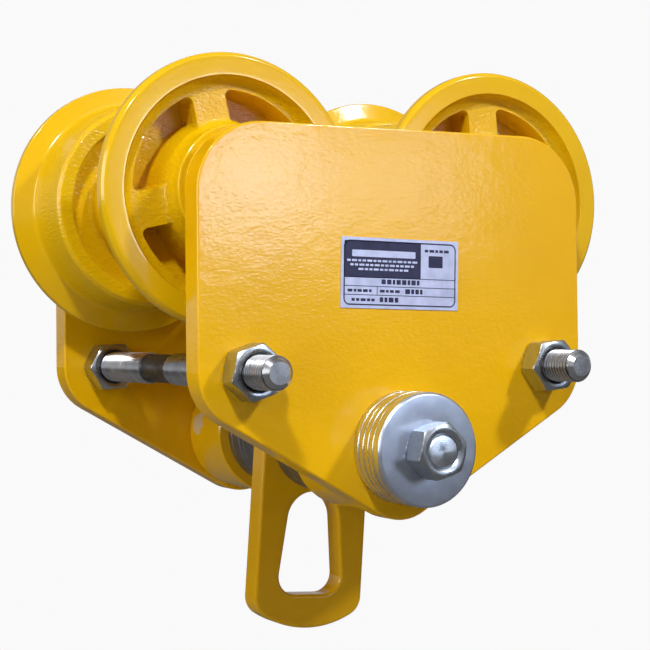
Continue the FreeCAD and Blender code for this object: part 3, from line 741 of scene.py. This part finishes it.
def nut_shape(start, end, phase, x, z):
    """Vertices and faces of a chamfered hexagon nut with countersunk mouths."""
    apothem = NUT_ACROSS_FLATS / 2
    corner = apothem / math.cos(math.radians(30))
    face_radius = apothem * NUT_FACE_SHARE
    height = end - start
    slope = math.tan(math.radians(30))
    run_out = (corner - face_radius) * slope
    bevels = [run_out * step / NUT_BEVEL_STEPS for step in range(NUT_BEVEL_STEPS + 1)]
    rows = [*NUT_MOUTH, (face_radius - 0.4, 0.0)]
    rows += [(face_radius + depth / slope, depth + 0.06) for depth in bevels]
    rows += [(corner + 1, run_out + 0.5), (corner + 1, height / 2)]
    rows += [(radius, height - station) for radius, station in reversed(rows[:-1])]
    rings = []
    for radius, station in rows:
        ring = []
        for i in range(NUT_SEGMENTS):
            angle = 2 * math.pi * i / NUT_SEGMENTS
            reach = min(radius, hexagon_radius(angle, apothem))
            turn = angle + math.radians(phase)
            ring.append((x + reach * math.cos(turn), start + station, z + reach * math.sin(turn)))
        rings.append(ring)
    return skin(rings, loop=True)


ROD_PLAIN_HALF = 17.5
ROD_PLAIN_RADIUS = 8.2
ROD_END_RADIUS = 5.8
ROD_SEGMENTS = 48
ROD_SHARP_ANGLE = 40.0
NUT_SHARP_ANGLE = 30.0
THREAD_RUN_OUT_SLOPE = 0.8
# Faces between the next two radii, and no farther along than the shade's end, are coloured dark: painted
# shade deep in the thread's groove.
ROOT_REACH = 7.2
ROOT_SHADE_RADIUS = 8.3
THREAD_SHADE_END = 142.5
THREAD_ROOT_RADIUS = 7.5
THREAD_MID_RADIUS = 8.35
# One pitch of thread: how far along the rod, and the radius there.
THREAD_FORM = ((0.0, THREAD_RADIUS), (0.25, THREAD_RADIUS), (0.65, THREAD_MID_RADIUS),
               (1.2, THREAD_ROOT_RADIUS), (1.55, THREAD_ROOT_RADIUS), (2.1, THREAD_MID_RADIUS))


def thread_half(x):
    """Vertices and faces of one helical thread, from the plain middle of a rod to its end at +Y."""
    vertices = []
    length = ROD_HALF_LENGTH - ROD_PLAIN_HALF
    count = int((length / THREAD_PITCH + 2) * ROD_SEGMENTS)
    for step in range(count):
        angle = 2 * math.pi * step / ROD_SEGMENTS
        for offset, form_radius in THREAD_FORM:
            away = ROD_PLAIN_HALF - THREAD_PITCH + THREAD_PITCH * step / ROD_SEGMENTS + offset
            away = min(max(away, ROD_PLAIN_HALF), ROD_HALF_LENGTH)
            chamfer = ROD_END_RADIUS + (ROD_HALF_LENGTH - away)
            run_in = ROD_PLAIN_RADIUS + (away - ROD_PLAIN_HALF) * THREAD_RUN_OUT_SLOPE
            radius = min(form_radius, chamfer, run_in)
            if away == ROD_PLAIN_HALF:
                radius = ROD_PLAIN_RADIUS
            vertices.append((x + radius * math.cos(angle), away, ROD_Z - radius * math.sin(angle)))
    faces = []
    rows = len(THREAD_FORM)
    turn = ROD_SEGMENTS * rows
    for step in range(count - ROD_SEGMENTS - 1):
        first = step * rows
        for row in range(rows - 1):
            faces.append((first + row, first + row + 1, first + rows + row + 1, first + rows + row))
        last = first + rows - 1
        faces.append((last, first + turn, first + turn + rows, last + rows))
    return vertices, faces


def make_tie_rods():
    """Each rod is two threaded halves and a plain middle; the front half is the rear one turned round."""
    for name, x_sign in (("left", -1), ("right", 1)):
        x = x_sign * ROD_X
        rear_points, rear_faces = thread_half(x)
        front_points = [(2 * x - px, -py, pz) for px, py, pz in rear_points]
        middle_points, middle_faces = skin([ring_of(ROD_PLAIN_RADIUS, station, ROD_SEGMENTS, x, ROD_Z)
                                            for station in (-ROD_PLAIN_HALF, ROD_PLAIN_HALF)])
        parts = ((rear_points, rear_faces), (front_points, rear_faces), (middle_points, middle_faces[:-2]))
        rod = joined_meshes("threaded_rod_" + name, parts, ROD_SHARP_ANGLE)
        close_up(rod, ROD_SHARP_ANGLE)
        dress(rod, rod_zinc, "frame", "zinc_plate", "tie_rod_" + name)
        rod.data.materials.append(mill_scale)
        # The third material is painted shade for the deep grooves of the thread.
        rod.data.materials.append(painted_groove_shade)
        for face in rod.data.polygons:
            reach = math.hypot(face.center.x - x * MM, face.center.z - ROD_Z * MM) / MM
            along = abs(face.center.y) / MM
            if along < ROD_PLAIN_HALF:
                face.material_index = 1
            elif ROOT_REACH < reach < ROOT_SHADE_RADIUS and along < THREAD_SHADE_END:
                face.material_index = 2


def make_nuts():
    """Nuts outside and inside each plate on the tie rods, and one on each end of the load shaft."""
    for kind, phases, near in (("outer", OUTER_NUT_PHASE, PLATE_OUTER_Y),
                               ("inner", INNER_NUT_PHASE, PLATE_INNER_Y - NUT_HEIGHT)):
        far = near + NUT_HEIGHT
        for (hand, side), phase in phases.items():
            x = -ROD_X if hand == "left" else ROD_X
            start, end = (near, far) if side > 0 else (-far, -near)
            end_name = "front" if side < 0 else "rear"
            nut = finish_mesh("rod_nut_%s_%s_%s" % (kind, hand, end_name),
                              *nut_shape(start, end, phase, x, ROD_Z), NUT_SHARP_ANGLE)
            dress(nut, nut_zinc, "frame", "zinc_plate", "tie_rod_%s_nuts" % kind)
    for name, phase in SHAFT_NUT_PHASE.items():
        start = -DISC_OUTER_Y - NUT_HEIGHT if name == "front" else DISC_OUTER_Y
        nut = finish_mesh("end_nut_" + name, *nut_shape(start, start + NUT_HEIGHT, phase, 0, SHAFT_Z),
                          NUT_SHARP_ANGLE)
        dress(nut, nut_zinc, "frame", "zinc_plate", "shaft_nut_" + name)


# ---- load shaft, washers and discs -----------------------------------------------------

WASHER_CLEARANCE = 0.04
WASHER_EDGE = 0.75
WASHER_SEGMENTS = 128
DISC_EDGE = 1.3
DISC_SEGMENTS = 144
STUB_BEVEL = 1.0
SHAFT_SEGMENTS = 96
END_RINGS = 32
END_RING_DEPTH = 0.03


def ring_outline(outer, inner, start, end, edge):
    return softened([(inner, start, 0.3), (outer, start, edge), (outer, end, edge), (inner, end, 0.3)])


def make_washers():
    """Every washer on its own, each a hair off centre as they sit on the shaft."""
    stacks = []
    for name, side in (("front", -1), ("rear", 1)):
        outer_start = -STACK_OUTER_Y if side < 0 else PLATE_OUTER_Y
        inner_start = -BOSS_END_Y if side < 0 else BOSS_END_Y - INNER_WASHERS[name] * WASHER_THICKNESS
        stacks.append(("outer_washers_" + name, outer_start, OUTER_WASHERS, zinc, "zinc_plate"))
        stacks.append(("inner_washers_" + name, inner_start, INNER_WASHERS[name], dull_zinc, "dull_zinc"))
    for node, start, count, material, slot in stacks:
        for index in range(count):
            first = start + index * WASHER_THICKNESS + WASHER_CLEARANCE
            last = first + WASHER_THICKNESS - 2 * WASHER_CLEARANCE
            radius = WASHER_RADIUS - 0.12 + 0.1 * math.sin(index * 2.3)
            outline = ring_outline(radius, WASHER_BORE_RADIUS, first, last, WASHER_EDGE)
            washer = turned_piece("%s_%d" % (node, index + 1), outline, WASHER_SEGMENTS,
                                  0.15 * math.sin(index * 1.9), SHAFT_Z - 0.12 * math.cos(index * 2.7))
            dress(washer, material, "frame", slot, node)


def make_discs():
    """A thick washer with a bevelled rim under each shaft nut."""
    bore = THREAD_RADIUS + 0.3
    for name, side in (("front", -1), ("rear", 1)):
        outline = softened([
            (bore, STACK_OUTER_Y, 0.2), (WASHER_RADIUS, STACK_OUTER_Y, 0.8),
            (WASHER_RADIUS, DISC_OUTER_Y - DISC_EDGE, 0.3), (WASHER_RADIUS - DISC_EDGE, DISC_OUTER_Y, 0.3),
            (bore, DISC_OUTER_Y, 0.2),
        ])
        disc = turned_piece("cover_disc_" + name, [(r, side * s) for r, s in outline], DISC_SEGMENTS,
                            0, SHAFT_Z)
        dress(disc, disc_zinc, "frame", "zinc_plate", "end_disc_" + name)


def make_load_shaft():
    """The shaft with its stubs, whose nearly flat ends keep the rings left by turning."""
    crown = THREAD_RADIUS - STUB_BEVEL
    end = []
    for step in range(1, END_RINGS):
        radius = crown * (1 - step / END_RINGS)
        height = SHAFT_DOME_HEIGHT * (1 - (radius / crown) ** 2)
        groove = END_RING_DEPTH if step % 4 == 1 else 0.0
        end.append((radius, SHAFT_END_Y + height - groove, 0.0))
    half = [(SHAFT_RADIUS, STACK_OUTER_Y - STUB_BEVEL, 0.2), (SHAFT_RADIUS - STUB_BEVEL, STACK_OUTER_Y, 0.2),
            (THREAD_RADIUS, STACK_OUTER_Y, 0.0), (THREAD_RADIUS, SHAFT_END_Y - STUB_BEVEL, 0.3),
            (crown, SHAFT_END_Y, 0.2)]
    outline = softened(half + end)
    both = [(radius, -station) for radius, station in reversed(outline)] + outline
    shaft = turned_piece("turned_shaft", both, SHAFT_SEGMENTS, 0, SHAFT_Z, loop=False)
    dress(shaft, machined, "frame", "machined_steel", "load_shaft")
    shaft.data.materials.append(turned_end)
    for face in shaft.data.polygons:
        if abs(face.center.y) > STACK_OUTER_Y * MM:
            face.material_index = 1


# ---- rating label ----------------------------------------------------------------------

FOIL_LAYER = (0.0, 0.4)
INK_LAYER = (0.38, 0.46)
REVERSED_LAYER = (0.45, 0.49)
RULE_WIDTH = 0.4
ROW_SHARES = (0.155, 0.29, 0.425)
HEADING_SHARE = 0.68
DIVIDER_SHARE = 0.29
SMALL_PRINT = 1.5
LARGE_PRINT = 2.6
BAR_GAP = 0.8


def rounded_rectangle(left, right, bottom, top, corner, steps=6):
    """Points round a rectangle in the label's own plane, with rounded corners."""
    points = []
    for x, z, start in ((right - corner, top - corner, 0), (left + corner, top - corner, 90),
                        (left + corner, bottom + corner, 180), (right - corner, bottom + corner, 270)):
        for step in range(steps + 1):
            angle = math.radians(start + 90 * step / steps)
            points.append((x + corner * math.cos(angle), z + corner * math.sin(angle)))
    return points


def label_point(x, z, height):
    """A place on the label, turned a little as it was stuck on."""
    turn = math.radians(LABEL_TURN)
    return (x * math.cos(turn) + z * math.sin(turn), -PLATE_OUTER_Y - height,
            LABEL_CENTRE_Z - x * math.sin(turn) + z * math.cos(turn))


def slab(outline, layer):
    """A thin flat piece of the label; a layer is its lower and upper height above the plate."""
    return skin([[label_point(x, z, height) for x, z in outline] for height in layer])


def frame_slab(left, right, bottom, top, corner, width, layer):
    """A thin printed line that runs round a rectangle."""
    outer = rounded_rectangle(left, right, bottom, top, corner)
    inner = rounded_rectangle(left + width, right - width, bottom + width, top - width,
                              max(corner - width, 0.1))
    low, high = layer
    rings = [[label_point(x, z, height) for x, z in edge]
             for edge, height in ((outer, low), (outer, high), (inner, high), (inner, low))]
    return skin(rings, loop=True)


def greeked_line(start, end, z, height, layer):
    """A row of short bars that stand for small print."""
    bars = []
    x = start
    index = 0
    while x < end - 1.0:
        width = min(1.6 + 1.5 * (0.5 + 0.5 * math.sin(index * 2.1 + z)), end - x)
        bars.append(slab(rounded_rectangle(x, x + width, z, z + height, 0.2, 2), layer))
        x += width + BAR_GAP
        index += 1
    return bars


def label_print(left, right, foot, top, split):
    """The dark parts: a border, a heading block, rules between the cells, bars and one square."""
    rows = [foot + share * (top - foot) for share in ROW_SHARES]
    prints = [frame_slab(left, right, foot, top, 3.6, 0.75, INK_LAYER)]
    prints.append(slab(rounded_rectangle(left + 0.3, split, rows[2], top - 0.3, 0.4), INK_LAYER))
    for height in rows:
        prints.append(slab(rounded_rectangle(left, right, height, height + RULE_WIDTH, 0.1), INK_LAYER))
    divider = left + DIVIDER_SHARE * (right - left)
    prints.append(slab(rounded_rectangle(divider, divider + RULE_WIDTH, rows[0], rows[1], 0.1), INK_LAYER))
    # Each line of bars: its two ends, the height of its foot and the height of its bars.
    lines = (
        (-12.0, 12.0, rows[1] + 1.5, LARGE_PRINT),
        (left + 2.5, divider - 3.0, rows[0] + 1.7, SMALL_PRINT),
        (divider + 2.0, 0.0, rows[0] + 1.7, SMALL_PRINT),
        (3.0, 14.0, rows[0] + 1.3, LARGE_PRINT),
        (left + 5.0, -16.0, foot + 2.2, SMALL_PRINT),
        (-13.0, 0.0, foot + 1.9, LARGE_PRINT),
        (split + 2.5, right - 3.0, top - 5.0, SMALL_PRINT),
    )
    for start, end, height, size in lines:
        prints.extend(greeked_line(start, end, height, size, INK_LAYER))
    prints.append(slab(rounded_rectangle(split + 5.0, right - 8.5, 4.0, 10.5, 0.6), INK_LAYER))
    return prints


def make_label():
    """A foil label ruled into a dark heading and light cells, with bars where words would be."""
    w, h = LABEL_WIDTH / 2, LABEL_HEIGHT / 2
    base = finish_mesh("label_foil", *slab(rounded_rectangle(-w, w, -h, h, 0.6), FOIL_LAYER))
    dress(base, foil, "frame", "label_foil", "rating_label")
    left, right = -w + LABEL_MARGIN, w - LABEL_MARGIN
    top, foot = h - LABEL_MARGIN, -h + LABEL_MARGIN
    split = left + HEADING_SHARE * (right - left)
    ink_piece = joined_meshes("label_print", label_print(left, right, foot, top, split))
    dress(ink_piece, ink, "frame", "label_foil")
    lights = [slab(rounded_rectangle(left + 5.0, split - 3.5, 8.6, 12.2, 0.6), REVERSED_LAYER)]
    for row, inset in enumerate((1.0, 3.0, 8.0)):
        lights.extend(greeked_line(left + 1.0 + inset, split - inset, 6.0 - 2.3 * row, 1.1, REVERSED_LAYER))
    light_piece = joined_meshes("label_reversed_print", lights)
    dress(light_piece, foil, "frame", "label_foil")


# ---- assembly --------------------------------------------------------------------------

paint_cad_nodes()
make_wheels()
make_tie_rods()
make_nuts()
make_washers()
make_discs()
make_load_shaft()
make_label()
make_camera()
for lamp_name, lamp_values in LAMPS.items():
    area_light(lamp_name, **lamp_values)
make_world()
make_floor()
